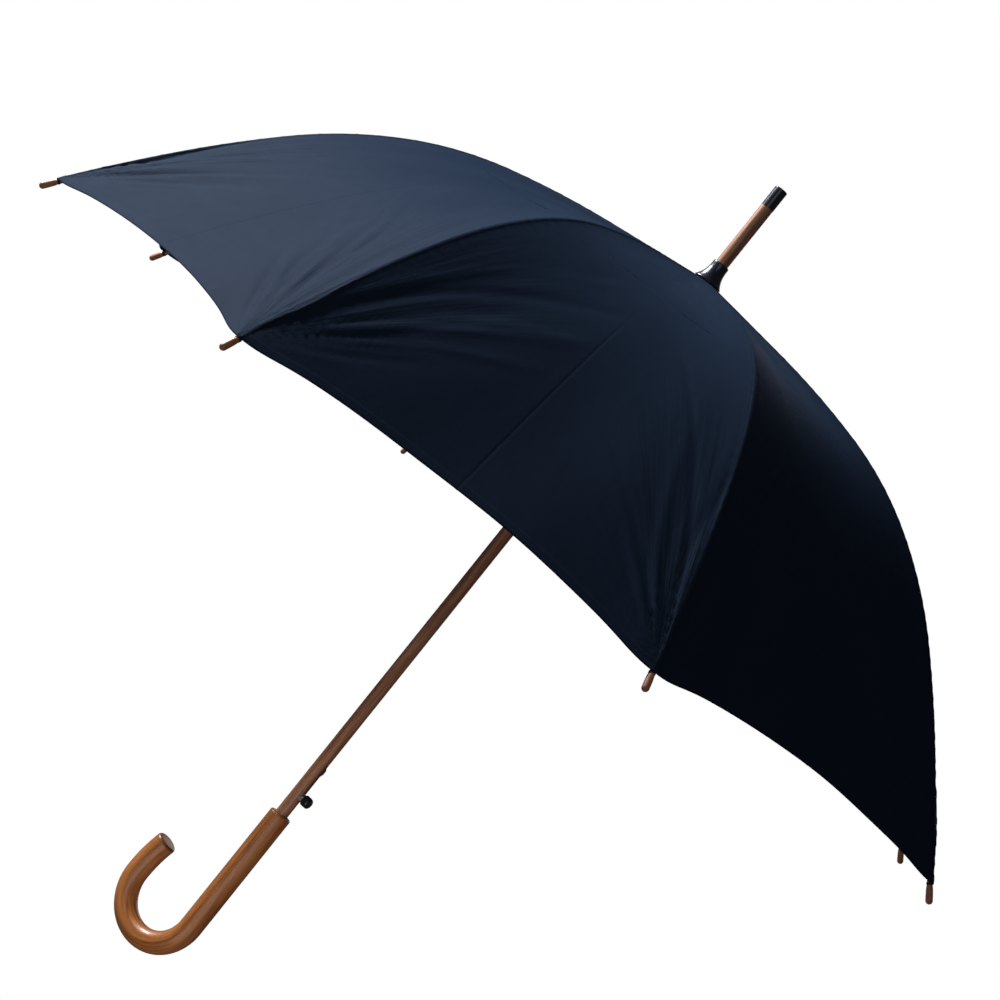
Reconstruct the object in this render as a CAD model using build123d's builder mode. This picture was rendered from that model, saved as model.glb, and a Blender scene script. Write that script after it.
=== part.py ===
"""Stick umbrella with a crook handle and a push-button automatic opening frame, shown open.

Z runs up the shaft and X lies in the plane of the crook, which hooks towards -X. The origin is on
the shaft's axis at the middle of the handle's straight grip. Lengths are in millimetres.

The folding frame has eight identical arms. Each arm lies in one upright plane through the axis, and is
drawn in that plane as (distance from the axis, height).
"""

import os
from math import acos, atan2, cos, degrees, hypot, pi, radians, sin, sqrt

from build123d import *

os.makedirs("parts", exist_ok=True)

# ---- driving dimensions -------------------------------------------------------------------------
ARMS = 8
ARM_STEP = 360 / ARMS

# The canopy ridge over each rib: six tangent arcs of equal length, by the droop at each end.
CROWN_Z = 676.0
RIB_LENGTH = 597.0
RIB_DROOPS = (5.0, 9.0, 15.5, 31.6, 44.8, 49.9, 52.9)
SPAN = RIB_LENGTH / (len(RIB_DROOPS) - 1)
FABRIC = 0.55  # thickness of the canopy's soft solids
FABRIC_TOP = (9.0, 679.0)  # edge of the hole in the fabric round the shaft
HEM_RISE = 16.0  # how far the hem rises between two ribs
SEAM_GAP = 0.1  # half the gap between neighbouring gores

# Folding frame
PIVOT_RADIUS = 10.0  # of the ribs' pivots, and of the pivots in the hub and the runner
RIB_DEPTH = (2.0, 4.8)  # below the canopy ridge, to the web's top and the flanges' edge
RIB_OUTER_DEPTH = (2.0, 4.4)
PIVOT_DEPTH = sum(RIB_DEPTH) / 2
CROWN_RADIUS = PIVOT_RADIUS + PIVOT_DEPTH * sin(radians(RIB_DROOPS[0]))  # where the ridges start
RIB_HALF_WIDTH = 2.1
RIB_OUTER_HALF_WIDTH = 1.4
SHEET_METAL = 0.5
STRETCHER_AT = 240.0  # along the rib, from the crown to the stretcher's rivet
RIVET_DEPTH = 8.0
RIVET_RADIUS = 0.7
RIVET_HEAD_RADIUS = 1.4
RIVET_HEAD = 0.4
EYE_RADIUS = 1.9
HOLE_RADIUS = 0.8
TANG_HALF_WIDTH = 0.75
STRETCHER_HALF_WIDTH = 1.3
STRETCHER_HEIGHT = 2.4
FLIRT_AT = 60.0  # along the stretcher, from its lower pivot to the flirt's rivet
FLIRT_LENGTH = 129.0
FLIRT_SIDE = (1.5, 2.4)  # the flirt lies flat beside the stretcher

# Shaft, ferrule and caps
SHAFT_RADIUS = 6.25
SHAFT_FOOT_Z = 16.0
FERRULE_TOP_Z = 786.0
CAP_HEIGHT = 21.0
CAP_RADIUS = 6.45
CAP_ROUNDING = 1.2
CROWN_CAP_TOP_Z = 700.0
CROWN_CAP_FOOT_Z = 679.5
CROWN_CAP_FOOT_RADIUS = 13.2
CROWN_CAP_WAIST = (9.2, 687.0)
CROWN_CAP_TOP_RADIUS = 8.0

# Sliding hub and runner
BORE_RADIUS = 6.5
SLEEVE_RADIUS = 8.2
FLANGE_RADIUS = 13.0
FLANGE_HALF_HEIGHT = 2.6
SLOT = (-1.5, 2.8)  # reach of each slot to the two sides of its arm's plane
RUNNER_LENGTH = 33.0

# Handle: a tapered grip, a half-circle crook and a shallower arc to the tip
HANDLE_TOP_Z = 66.0
HANDLE_TOP_RADIUS = 10.7
HANDLE_RADIUS = 10.9
GRIP_FOOT_Z = -64.0
CROOK_RADIUS = 40.0
HOOK_RADIUS = 145.0
HOOK_TURN = 16.0
HANDLE_ROUNDING = 1.2
HOOK_ROUNDING = 3.0

# Push button, on the side away from the hook
BUTTON_Z = 90.0
BUTTON_RADIUS = 5.3
BUTTON_FACE = 16.8  # from the shaft's axis
BUTTON_SKIRT = 9.6
BUTTON_TRAVEL = 3.0
NECK_RADIUS = 4.0
NECK_TOP = 11.0
STEM_RADIUS = 1.8
CATCH_Z = (88.0, 126.0)
CATCH_HALF_WIDTH = 1.5
CATCH_FACE = 5.6


# ---- geometry shared by the arms ----------------------------------------------------------------
def arm_plane(azimuth):
    """Upright plane through the axis: local x points outwards and local y points up."""
    a = radians(azimuth)
    return Plane(origin=(0, 0, 0), x_dir=(cos(a), sin(a), 0), z_dir=(sin(a), -cos(a), 0))


def side_plane(azimuth, side):
    """The arm's plane moved sideways, so that a pin or plate can start there."""
    return arm_plane(azimuth).offset(side)


def droop(s):
    """Slope of the rib below horizontal, in degrees, at arc length s."""
    i = min(int(s / SPAN), len(RIB_DROOPS) - 2)
    share = s / SPAN - i
    return RIB_DROOPS[i] + share * (RIB_DROOPS[i + 1] - RIB_DROOPS[i])


def rib_point(s, depth=0.0):
    """(radius, height) of the point at arc length s, this deep below the canopy ridge."""
    r, z = CROWN_RADIUS, CROWN_Z
    last = min(int(s / SPAN), len(RIB_DROOPS) - 2)
    for i in range(last + 1):
        length = SPAN if i < last else s - i * SPAN
        turn = radians(RIB_DROOPS[i + 1] - RIB_DROOPS[i]) / SPAN
        a = radians(RIB_DROOPS[i])
        b = a + turn * length
        r += (sin(b) - sin(a)) / turn
        z += (cos(b) - cos(a)) / turn
    tilt = radians(droop(s))
    return (r - depth * sin(tilt), z - depth * cos(tilt))


def rib_arcs(s1, s2, depth):
    """Arcs of the line this deep below the ridge, from s1 to s2, split where the curvature changes."""
    knots = [i * SPAN for i in range(1, len(RIB_DROOPS) - 1)]
    stops = [s1] + [s for s in knots if s1 + 1 < s < s2 - 1] + [s2]
    for a, b in zip(stops, stops[1:]):
        ThreePointArc(rib_point(a, depth), rib_point((a + b) / 2, depth), rib_point(b, depth))


def rib_band(s1, s2, top, bottom):
    """Face between two depths below the ridge."""
    with BuildLine() as outline:
        rib_arcs(s1, s2, top)
        Line(rib_point(s2, top), rib_point(s2, bottom))
        rib_arcs(s1, s2, bottom)
        Line(rib_point(s1, top), rib_point(s1, bottom))
    make_face(outline.edges())


def toward(a, b):
    """Unit vector from point a to point b."""
    length = hypot(b[0] - a[0], b[1] - a[1])
    return ((b[0] - a[0]) / length, (b[1] - a[1]) / length)


def bar(a, b, trim_a, trim_b, height):
    """Straight bar between two points, cut short by a trim at each end."""
    u = toward(a, b)
    length = hypot(b[0] - a[0], b[1] - a[1]) - trim_a - trim_b
    middle = trim_a + length / 2
    with Locations((a[0] + u[0] * middle, a[1] + u[1] * middle)):
        Rectangle(length, height, rotation=degrees(atan2(u[1], u[0])))


NOTCH_PIVOT = rib_point(0, PIVOT_DEPTH)
STRETCHER_RIVET = rib_point(STRETCHER_AT, RIVET_DEPTH)
ARM_LENGTH = hypot(STRETCHER_RIVET[0] - NOTCH_PIVOT[0], STRETCHER_RIVET[1] - NOTCH_PIVOT[1])
OPEN_LEAN = degrees(acos((NOTCH_PIVOT[1] - STRETCHER_RIVET[1]) / ARM_LENGTH))
HUB_PIVOT = (PIVOT_RADIUS, 2 * STRETCHER_RIVET[1] - NOTCH_PIVOT[1])


def runner_drop(lean):
    """How far the runner's pivots hang below the hub's, with the stretchers at this lean."""
    a = radians(lean)
    return sqrt(FLIRT_LENGTH**2 - (FLIRT_AT * sin(a)) ** 2) - FLIRT_AT * cos(a)


RUNNER_PIVOT = (PIVOT_RADIUS, HUB_PIVOT[1] - runner_drop(OPEN_LEAN))
_along = toward(HUB_PIVOT, STRETCHER_RIVET)
FLIRT_RIVET = (HUB_PIVOT[0] + FLIRT_AT * _along[0], HUB_PIVOT[1] + FLIRT_AT * _along[1])


def write(builder, name):
    builder.part.label = name
    export_step(builder.part, f"parts/{name}.step")


# ---- inner ribs: channel, tang at the notch, ears and rivet at the stretcher ---------------------
RIB_START = 16.0  # where the tang ends inside the channel
CHANNEL_START = 6.5
CHANNEL_END = STRETCHER_AT - 2.0
EAR_INNER = RIB_HALF_WIDTH - SHEET_METAL
EAR_SPREAD = (9.0, -2.0)  # reach of an ear's root each way along the rib
TANG_TRIM = 0.3  # the tang and the links' eyes are this much slimmer than the rib
PIN_FIT = 0.15
CUT = 1.0  # cutters run on this far past what they cut


def ear(at, radius, spread):
    """Web between the rib's flanges and a rivet below them, widening towards the rib."""
    with BuildLine() as outline:
        Polyline(
            rib_point(at - spread[0], RIB_DEPTH[1] - CUT),
            rib_point(at - radius, RIVET_DEPTH),
            rib_point(at + radius, RIVET_DEPTH),
            rib_point(at + spread[1], RIB_DEPTH[1] - CUT),
            close=True,
        )
    make_face(outline.edges())
    with Locations(rib_point(at, RIVET_DEPTH)):
        Circle(radius)


for arm in range(ARMS):
    azimuth = arm * ARM_STEP
    with BuildPart() as rib_inner:
        with BuildSketch(arm_plane(azimuth)):
            rib_band(CHANNEL_START, CHANNEL_END, *RIB_DEPTH)
        extrude(amount=RIB_HALF_WIDTH, both=True)
        with BuildSketch(arm_plane(azimuth)):
            rib_band(RIB_START, CHANNEL_END + CUT, RIB_DEPTH[0] + SHEET_METAL, RIB_DEPTH[1] + CUT)
        extrude(amount=EAR_INNER, both=True, mode=Mode.SUBTRACT)
        with BuildSketch(arm_plane(azimuth)):
            rib_band(0, RIB_START, RIB_DEPTH[0] + TANG_TRIM, RIB_DEPTH[1] - TANG_TRIM)
            with Locations(NOTCH_PIVOT):
                Circle(EYE_RADIUS - TANG_TRIM)
        extrude(amount=TANG_HALF_WIDTH, both=True)
        with BuildSketch(arm_plane(azimuth)):
            with Locations(NOTCH_PIVOT):
                Circle(HOLE_RADIUS - PIN_FIT)
        extrude(amount=TANG_HALF_WIDTH + CUT, both=True, mode=Mode.SUBTRACT)
        for start in (EAR_INNER, -RIB_HALF_WIDTH):
            with BuildSketch(side_plane(azimuth, start)):
                ear(STRETCHER_AT, EYE_RADIUS, EAR_SPREAD)
            extrude(amount=SHEET_METAL)
        with BuildSketch(arm_plane(azimuth)):
            with Locations(STRETCHER_RIVET):
                Circle(RIVET_RADIUS)
        extrude(amount=RIB_HALF_WIDTH, both=True)
        for start in (RIB_HALF_WIDTH, -RIB_HALF_WIDTH - RIVET_HEAD):
            with BuildSketch(side_plane(azimuth, start)):
                with Locations(STRETCHER_RIVET):
                    Circle(RIVET_HEAD_RADIUS)
            extrude(amount=RIVET_HEAD)
    write(rib_inner, f"rib_inner_{arm}")


# ---- outer ribs: a narrower channel that hinges on the same rivet --------------------------------
RIB_OUTER_START = STRETCHER_AT + 2.0
OUTER_EAR_INNER = RIB_OUTER_HALF_WIDTH - SHEET_METAL
TIP_SOCKET = 9.0  # length of rib inside the wooden tip

for arm in range(ARMS):
    azimuth = arm * ARM_STEP
    with BuildPart() as rib_outer:
        with BuildSketch(arm_plane(azimuth)):
            rib_band(RIB_OUTER_START, RIB_LENGTH, *RIB_OUTER_DEPTH)
        extrude(amount=RIB_OUTER_HALF_WIDTH, both=True)
        with BuildSketch(arm_plane(azimuth)):
            rib_band(RIB_OUTER_START - CUT, RIB_LENGTH - TIP_SOCKET, RIB_OUTER_DEPTH[0] + SHEET_METAL,
                     RIB_OUTER_DEPTH[1] + CUT)
        extrude(amount=OUTER_EAR_INNER, both=True, mode=Mode.SUBTRACT)
        for start in (OUTER_EAR_INNER, -RIB_OUTER_HALF_WIDTH):
            with BuildSketch(side_plane(azimuth, start)):
                ear(STRETCHER_AT, EYE_RADIUS, EAR_SPREAD[::-1])
            extrude(amount=SHEET_METAL)
        with BuildSketch(arm_plane(azimuth)):
            with Locations(STRETCHER_RIVET):
                Circle(HOLE_RADIUS)
        extrude(amount=RIB_OUTER_HALF_WIDTH + CUT, both=True, mode=Mode.SUBTRACT)
    write(rib_outer, f"rib_outer_{arm}")


# ---- wooden tips: a blunt turned bead on each rib's end --------------------------------------------
TIP_LENGTH = 24.0
TIP_NECK_RADIUS = 2.4
TIP_NECK_LENGTH = 9.0
TIP_BULB_RADIUS = 3.0
TIP_BEVEL = (0.5, 0.3)
TIP_CLEARANCE = 0.05
BULB_AT = TIP_LENGTH - TIP_BULB_RADIUS

TIP_START = rib_point(RIB_LENGTH - TIP_SOCKET + 1, sum(RIB_OUTER_DEPTH) / 2)
TIP_ALONG = toward(TIP_START, rib_point(RIB_LENGTH, sum(RIB_OUTER_DEPTH) / 2))


def tip_point(along, out):
    """Point of the tip's outline, by its distances along and out from the tip's own axis."""
    u = TIP_ALONG
    return (TIP_START[0] + u[0] * along + u[1] * out, TIP_START[1] + u[1] * along - u[0] * out)


for arm in range(ARMS):
    azimuth = arm * ARM_STEP
    tip_plane = arm_plane(azimuth)
    start = tip_plane.from_local_coords(Vector(*TIP_START, 0))
    tip_axis = Axis(origin=start, direction=tip_plane.from_local_coords(Vector(*tip_point(1, 0), 0)) - start)
    with BuildPart() as rib_tip:
        with BuildSketch(tip_plane):
            with BuildLine():
                Polyline(
                    tip_point(0, 0),
                    tip_point(0, TIP_NECK_RADIUS - TIP_BEVEL[1]),
                    tip_point(TIP_BEVEL[0], TIP_NECK_RADIUS),
                    tip_point(TIP_NECK_LENGTH, TIP_NECK_RADIUS),
                )
                Spline(
                    tip_point(TIP_NECK_LENGTH, TIP_NECK_RADIUS),
                    tip_point(BULB_AT, TIP_BULB_RADIUS),
                    tangents=[TIP_ALONG, TIP_ALONG],
                )
                ThreePointArc(
                    tip_point(BULB_AT, TIP_BULB_RADIUS),
                    tip_point(BULB_AT + TIP_BULB_RADIUS * sin(pi / 4), TIP_BULB_RADIUS * cos(pi / 4)),
                    tip_point(TIP_LENGTH, 0),
                )
                Line(tip_point(TIP_LENGTH, 0), tip_point(0, 0))
            make_face()
        revolve(axis=tip_axis)
        with BuildSketch(tip_plane):
            rib_band(RIB_LENGTH - TIP_SOCKET - CUT, RIB_LENGTH + TIP_CLEARANCE,
                     RIB_OUTER_DEPTH[0] - TIP_CLEARANCE, RIB_OUTER_DEPTH[1] + TIP_CLEARANCE)
        extrude(amount=RIB_OUTER_HALF_WIDTH + TIP_CLEARANCE, both=True, mode=Mode.SUBTRACT)
    write(rib_tip, f"rib_tip_{arm}")


# ---- stretchers: from the ribs' rivets down to the hub -------------------------------------------
STRETCHER_TRIM = (8.0, 10.0)  # the full section stops this far short of each pivot
LINK_HEIGHT = 1.8
HUB_PIN_REACH = 0.4  # the pin stands out this far past each side of the tang
FLIRT_CLEARANCE = 0.1

for arm in range(ARMS):
    azimuth = arm * ARM_STEP
    with BuildPart() as stretcher:
        with BuildSketch(arm_plane(azimuth)):
            bar(STRETCHER_RIVET, HUB_PIVOT, *STRETCHER_TRIM, STRETCHER_HEIGHT)
        extrude(amount=STRETCHER_HALF_WIDTH, both=True)
        with BuildSketch(arm_plane(azimuth)):
            bar(STRETCHER_RIVET, HUB_PIVOT, 0, 0, LINK_HEIGHT)
            with Locations(STRETCHER_RIVET, HUB_PIVOT):
                Circle(EYE_RADIUS - TANG_TRIM)
        extrude(amount=TANG_HALF_WIDTH, both=True)
        with BuildSketch(arm_plane(azimuth)):
            with Locations(STRETCHER_RIVET):
                Circle(HOLE_RADIUS)
        extrude(amount=TANG_HALF_WIDTH + CUT, both=True, mode=Mode.SUBTRACT)
        with BuildSketch(arm_plane(azimuth)):
            with Locations(HUB_PIVOT):
                Circle(RIVET_RADIUS)
        extrude(amount=TANG_HALF_WIDTH + HUB_PIN_REACH, both=True)
        with BuildSketch(side_plane(azimuth, 0)):
            with Locations(FLIRT_RIVET):
                Circle(RIVET_RADIUS)
        extrude(amount=FLIRT_SIDE[1] + FLIRT_CLEARANCE)
        with BuildSketch(side_plane(azimuth, FLIRT_SIDE[1] + FLIRT_CLEARANCE)):
            with Locations(FLIRT_RIVET):
                Circle(RIVET_HEAD_RADIUS)
        extrude(amount=RIVET_HEAD)
    write(stretcher, f"stretcher_{arm}")


# ---- flirts: flat links from the stretchers down to the runner -----------------------------------
RUNNER_PIN_BACK = 0.6  # the runner's pin stands back this far past the arm's plane

for arm in range(ARMS):
    azimuth = arm * ARM_STEP
    with BuildPart() as flirt:
        with BuildSketch(side_plane(azimuth, FLIRT_SIDE[0])):
            bar(FLIRT_RIVET, RUNNER_PIVOT, 0, 0, LINK_HEIGHT)
            with Locations(FLIRT_RIVET, RUNNER_PIVOT):
                Circle(EYE_RADIUS - TANG_TRIM)
        extrude(amount=FLIRT_SIDE[1] - FLIRT_SIDE[0])
        with BuildSketch(side_plane(azimuth, FLIRT_SIDE[0])):
            with Locations(FLIRT_RIVET):
                Circle(HOLE_RADIUS)
        extrude(amount=FLIRT_SIDE[1] - FLIRT_SIDE[0], mode=Mode.SUBTRACT)
        with BuildSketch(side_plane(azimuth, -RUNNER_PIN_BACK)):
            with Locations(RUNNER_PIVOT):
                Circle(RIVET_RADIUS)
        extrude(amount=FLIRT_SIDE[1] + RUNNER_PIN_BACK)
    write(flirt, f"flirt_{arm}")


# ---- canopy gores: each a singly curved sheet between two ribs -----------------------------------
def crown_tangent():
    """Arc length where the straight fabric near the crown meets the rib's first arc, and its slope."""
    radius = SPAN / radians(RIB_DROOPS[1] - RIB_DROOPS[0])
    centre = rib_point(0, radius)
    x, y = FABRIC_TOP[0] - centre[0], FABRIC_TOP[1] - centre[1]
    slope = acos(radius / hypot(x, y)) + atan2(x, y)
    return radius * (slope - radians(RIB_DROOPS[0])), slope


def gore_band():
    """Cross-section of the fabric in a rib's plane, with the straight rise up to the crown."""
    tangent_s, slope = crown_tangent()
    inside = (FABRIC_TOP[0] - FABRIC * sin(slope), FABRIC_TOP[1] - FABRIC * cos(slope))
    with BuildLine() as outline:
        Line(FABRIC_TOP, rib_point(tangent_s))
        rib_arcs(tangent_s, RIB_LENGTH, 0)
        Line(rib_point(RIB_LENGTH), rib_point(RIB_LENGTH, FABRIC))
        rib_arcs(tangent_s, RIB_LENGTH, FABRIC)
        Line(rib_point(tangent_s, FABRIC), inside)
        Line(inside, FABRIC_TOP)
    make_face(outline.edges())


SHEET_TURN = ARM_STEP / 2  # from a rib to the middle of the next gore
RIB_TIP = rib_point(RIB_LENGTH)
HEM_CHORD = 2 * RIB_TIP[0] * sin(radians(SHEET_TURN))
HEM_ARC_RADIUS = (HEM_CHORD**2 / 4 + HEM_RISE**2) / (2 * HEM_RISE)
GORE_SPARE = 20.0  # trimmed off every gore

for arm in range(ARMS):
    azimuth = arm * ARM_STEP
    middle_plane = arm_plane(azimuth + SHEET_TURN)
    across = -middle_plane.z_dir
    hem_plane = Plane(
        origin=(0, 0, RIB_TIP[1] + HEM_RISE - HEM_ARC_RADIUS),
        x_dir=across,
        z_dir=middle_plane.x_dir,
    )
    with BuildPart() as gore:
        with BuildSketch(arm_plane(azimuth)):
            gore_band()
        extrude(amount=HEM_CHORD + GORE_SPARE, dir=across)
        split(bisect_by=arm_plane(azimuth).offset(-SEAM_GAP), keep=Keep.BOTTOM)
        split(bisect_by=arm_plane(azimuth + ARM_STEP).offset(SEAM_GAP), keep=Keep.TOP)
        with BuildSketch(hem_plane):
            Circle(HEM_ARC_RADIUS)
        extrude(amount=RIB_TIP[0] + GORE_SPARE, mode=Mode.SUBTRACT)
    write(gore, f"gore_{arm}")


# ---- shaft with its slot for the catch and the button's stem ------------------------------------
SHAFT_SLOT_SPARE = 4.0  # past each end of the catch
SHAFT_SLOT_FIT = 0.3
SHAFT_SLOT_FLOOR = -2.5  # from the axis

with BuildPart() as shaft:
    with BuildSketch(Plane.XY.offset(SHAFT_FOOT_Z)):
        Circle(SHAFT_RADIUS)
    extrude(amount=FERRULE_TOP_Z - CAP_HEIGHT - SHAFT_FOOT_Z)
    with BuildSketch(Plane.XY.offset(CATCH_Z[0] - SHAFT_SLOT_SPARE)):
        with Locations((SHAFT_RADIUS, 0)):
            Rectangle(2 * (SHAFT_RADIUS - SHAFT_SLOT_FLOOR), 2 * (CATCH_HALF_WIDTH + SHAFT_SLOT_FIT))
    extrude(amount=CATCH_Z[1] - CATCH_Z[0] + 2 * SHAFT_SLOT_SPARE, mode=Mode.SUBTRACT)
write(shaft, "shaft")


# ---- black cap on the ferrule's end --------------------------------------------------------------
with BuildPart() as ferrule_cap:
    with BuildSketch(Plane.XY.offset(FERRULE_TOP_Z - CAP_HEIGHT)):
        Circle(CAP_RADIUS)
    extrude(amount=CAP_HEIGHT)
    fillet(ferrule_cap.faces().sort_by(Axis.Z)[-1].edges(), radius=CAP_ROUNDING)
write(ferrule_cap, "ferrule_cap")


# ---- crown cap: a flared collar that holds the fabric down ---------------------------------------
SHAFT_FIT = 0.05  # clearance of the parts fixed round the shaft
FIXED_BORE = SHAFT_RADIUS + SHAFT_FIT
CROWN_CAP_RIM = 1.6
CROWN_CAP_BEVEL = (0.8, 1.0)

with BuildPart() as crown_cap:
    with BuildSketch(Plane.XZ):
        with BuildLine():
            rim = (CROWN_CAP_FOOT_RADIUS, CROWN_CAP_FOOT_Z + CROWN_CAP_RIM)
            lip = (CROWN_CAP_TOP_RADIUS, CROWN_CAP_TOP_Z - CROWN_CAP_BEVEL[1])
            Polyline((FIXED_BORE, CROWN_CAP_TOP_Z), (FIXED_BORE, CROWN_CAP_FOOT_Z),
                     (CROWN_CAP_FOOT_RADIUS - SHAFT_FIT, CROWN_CAP_FOOT_Z), rim)
            Spline(rim, CROWN_CAP_WAIST, lip, tangents=[(-1, 0.35), (-0.06, 1)])
            Polyline(lip, (CROWN_CAP_TOP_RADIUS - CROWN_CAP_BEVEL[0], CROWN_CAP_TOP_Z),
                     (FIXED_BORE, CROWN_CAP_TOP_Z))
        make_face()
    revolve(axis=Axis.Z)
write(crown_cap, "crown_cap")


# ---- top notch: the slotted hub that the ribs hinge in, fixed to the shaft -----------------------
NOTCH_FOOT_Z = NOTCH_PIVOT[1] - 4.6
NOTCH_ROOF_Z = NOTCH_PIVOT[1] + 2.6  # of the slots
NOTCH_TOP_Z = FABRIC_TOP[1] - FABRIC - 0.3
NOTCH_COLLAR = 6.0  # length of the plain collar below the slots
NOTCH_CROWN_RADIUS = 9.4
NOTCH_RADIUS = 12.4
NOTCH_COLLAR_RADIUS = 7.9
NOTCH_SLOT = (-1.15, 1.15)
NOTCH_PIN = (0.55, 1.6)  # radius and half length
SLOT_SPARE = 2.0


def arm_slots(z_low, z_high, root, reach, low_side, high_side):
    """Cut one radial slot for each arm out of the part being built."""
    for k in range(ARMS):
        with BuildSketch(Plane.XY.offset(z_low).rotated((0, 0, k * ARM_STEP))) as slot:
            with Locations(((root + reach) / 2, -(low_side + high_side) / 2)):
                Rectangle(reach - root, high_side - low_side)
        extrude(slot.sketch, amount=z_high - z_low, mode=Mode.SUBTRACT)


with BuildPart() as top_notch:
    with BuildSketch(Plane.XZ):
        Polygon(
            (FIXED_BORE, NOTCH_FOOT_Z - NOTCH_COLLAR),
            (NOTCH_COLLAR_RADIUS, NOTCH_FOOT_Z - NOTCH_COLLAR),
            (NOTCH_COLLAR_RADIUS, NOTCH_FOOT_Z),
            (NOTCH_RADIUS, NOTCH_FOOT_Z),
            (NOTCH_RADIUS, NOTCH_ROOF_Z),
            (NOTCH_CROWN_RADIUS, NOTCH_TOP_Z),
            (FIXED_BORE, NOTCH_TOP_Z),
            align=None,
        )
    revolve(axis=Axis.Z)
    arm_slots(NOTCH_FOOT_Z - CUT, NOTCH_ROOF_Z, NOTCH_COLLAR_RADIUS, NOTCH_RADIUS + SLOT_SPARE, *NOTCH_SLOT)
    for k in range(ARMS):
        with BuildSketch(arm_plane(k * ARM_STEP)):
            with Locations(NOTCH_PIVOT):
                Circle(NOTCH_PIN[0])
        extrude(amount=NOTCH_PIN[1], both=True)
write(top_notch, "top_notch")


# ---- stretcher hub: carries the stretchers' lower ends -------------------------------------------
HUB_REACH = (12.0, 8.0)  # of the sleeve below and above the pivots
SLOT_HALF_HEIGHT = 4.0

with BuildPart() as stretcher_hub:
    with BuildSketch(Plane.XZ):
        Polygon(
            (BORE_RADIUS, HUB_PIVOT[1] - HUB_REACH[0]),
            (SLEEVE_RADIUS, HUB_PIVOT[1] - HUB_REACH[0]),
            (SLEEVE_RADIUS, HUB_PIVOT[1] - FLANGE_HALF_HEIGHT),
            (FLANGE_RADIUS, HUB_PIVOT[1] - FLANGE_HALF_HEIGHT),
            (FLANGE_RADIUS, HUB_PIVOT[1] + FLANGE_HALF_HEIGHT),
            (SLEEVE_RADIUS, HUB_PIVOT[1] + FLANGE_HALF_HEIGHT),
            (SLEEVE_RADIUS, HUB_PIVOT[1] + HUB_REACH[1]),
            (BORE_RADIUS, HUB_PIVOT[1] + HUB_REACH[1]),
            align=None,
        )
    revolve(axis=Axis.Z)
    arm_slots(HUB_PIVOT[1] - SLOT_HALF_HEIGHT, HUB_PIVOT[1] + SLOT_HALF_HEIGHT, SLEEVE_RADIUS,
              FLANGE_RADIUS + SLOT_SPARE, *SLOT)
write(stretcher_hub, "stretcher_hub")


# ---- runner: the sleeve that the hand pulls down, with a keyway that clears the catch ------------
RUNNER_FOOT_Z = RUNNER_PIVOT[1] - RUNNER_LENGTH
RUNNER_TOP_Z = RUNNER_PIVOT[1] + 6.0
GRIP_RING_RADIUS = 10.1
GRIP_RING_HEIGHT = 4.0
RUNNER_WAIST = (9.2, 8.0)  # radius, and height above the foot
RUNNER_SHOULDER = (8.7, 12.0)  # radius, and depth below the pivots
RUNNER_NECK = 6.0
KEYWAY_ROOF = 5.0  # the keyway stops this far below the pivots
KEYWAY_DEPTH = 2.4
KEYWAY_FIT = 0.5

with BuildPart() as runner:
    with BuildSketch(Plane.XZ):
        Polygon(
            (BORE_RADIUS, RUNNER_FOOT_Z),
            (GRIP_RING_RADIUS, RUNNER_FOOT_Z),
            (GRIP_RING_RADIUS, RUNNER_FOOT_Z + GRIP_RING_HEIGHT),
            (RUNNER_WAIST[0], RUNNER_FOOT_Z + RUNNER_WAIST[1]),
            (RUNNER_SHOULDER[0], RUNNER_PIVOT[1] - RUNNER_SHOULDER[1]),
            (SLEEVE_RADIUS, RUNNER_PIVOT[1] - RUNNER_NECK),
            (SLEEVE_RADIUS, RUNNER_PIVOT[1] - FLANGE_HALF_HEIGHT),
            (FLANGE_RADIUS, RUNNER_PIVOT[1] - FLANGE_HALF_HEIGHT),
            (FLANGE_RADIUS, RUNNER_PIVOT[1] + FLANGE_HALF_HEIGHT),
            (SLEEVE_RADIUS, RUNNER_PIVOT[1] + FLANGE_HALF_HEIGHT),
            (SLEEVE_RADIUS, RUNNER_TOP_Z),
            (BORE_RADIUS, RUNNER_TOP_Z),
            align=None,
        )
    revolve(axis=Axis.Z)
    arm_slots(RUNNER_PIVOT[1] - SLOT_HALF_HEIGHT, RUNNER_PIVOT[1] + SLOT_HALF_HEIGHT, SLEEVE_RADIUS,
              FLANGE_RADIUS + SLOT_SPARE, *SLOT)
    with BuildSketch(Plane.XY.offset(RUNNER_FOOT_Z)):
        with Locations((BORE_RADIUS, 0)):
            Rectangle(2 * KEYWAY_DEPTH, 2 * (CATCH_HALF_WIDTH + KEYWAY_FIT))
    extrude(amount=RUNNER_LENGTH - KEYWAY_ROOF, mode=Mode.SUBTRACT)
write(runner, "runner")


# ---- opening spring: wound on the shaft between the runner and the stretcher hub -----------------
SPRING_WIRE = 0.55
SPRING_RADIUS = 7.7
SPRING_GAP = 0.2
SPRING_FOOT_Z = RUNNER_TOP_Z + SPRING_WIRE + SPRING_GAP
SPRING_TOP_Z = HUB_PIVOT[1] - HUB_REACH[0] - SPRING_WIRE - SPRING_GAP
SPRING_TURNS = 11

with BuildPart() as opening_spring:
    with BuildLine() as spring_path:
        Helix(pitch=(SPRING_TOP_Z - SPRING_FOOT_Z) / SPRING_TURNS, height=SPRING_TOP_Z - SPRING_FOOT_Z,
              radius=SPRING_RADIUS, center=(0, 0, SPRING_FOOT_Z))
    with BuildSketch(Plane(origin=spring_path.line @ 0, z_dir=spring_path.line % 0)):
        Circle(SPRING_WIRE)
    sweep(is_frenet=True)
write(opening_spring, "opening_spring")


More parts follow.
